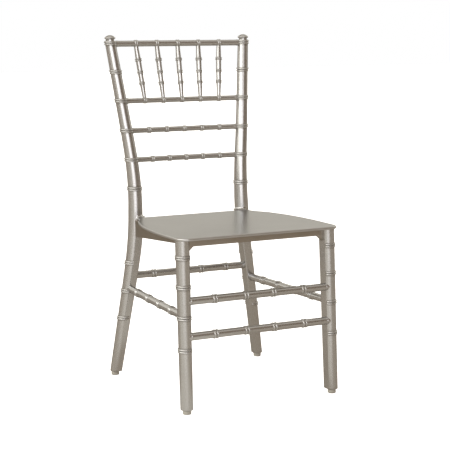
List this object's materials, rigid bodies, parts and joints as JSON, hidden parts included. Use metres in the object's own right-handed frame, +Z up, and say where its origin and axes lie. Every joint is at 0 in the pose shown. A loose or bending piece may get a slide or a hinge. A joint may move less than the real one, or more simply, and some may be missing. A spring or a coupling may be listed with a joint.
{
  "type": "banquet chair with bamboo-style turned frame",
  "caption": "Straight-backed banquet chair with bamboo-style beaded posts, slender spindles between back rails, a thin solid seat plate and beaded stretchers between the legs.",
  "frame": {"origin": "on the floor under the middle of the whole chair", "axes": "+Z up; the chair faces -Y; +X is to the right of someone who faces the chair"},
  "size_m": [0.464, 0.5041, 0.914],
  "materials": {
    "frame": "satin champagne silver metallic coating",
    "seat": "satin champagne silver metallic coating, smooth plate",
    "glide": "pale moulded pad",
    "screw": "bright plated"
  },
  "bodies": {
    "root": {"spindle_1": "frame", "spindle_2": "frame", "spindle_3": "frame", "spindle_4": "frame", "spindle_5": "frame", "top_rail": "frame", "spindle_rail": "frame", "ladder_rung_upper": "frame", "ladder_rung_lower": "frame", "front_stretcher_upper": "frame", "front_stretcher_lower": "frame", "rear_stretcher": "frame", "side_stretcher_right": "frame", "side_stretcher_left": "frame", "apron_front": "frame", "apron_rear": "frame", "apron_right": "frame", "apron_left": "frame", "gusset_right": "frame", "gusset_left": "frame", "seat_plate": "seat", "seat_screws": "screw", "rear_post_right": "frame", "rear_post_left": "frame", "front_leg_right": "frame", "front_leg_left": "frame", "finial_right": "frame", "finial_left": "frame", "glide_front_right": "glide", "glide_front_left": "glide", "glide_rear_right": "glide", "glide_rear_left": "glide"}
  },
  "joints": []
}
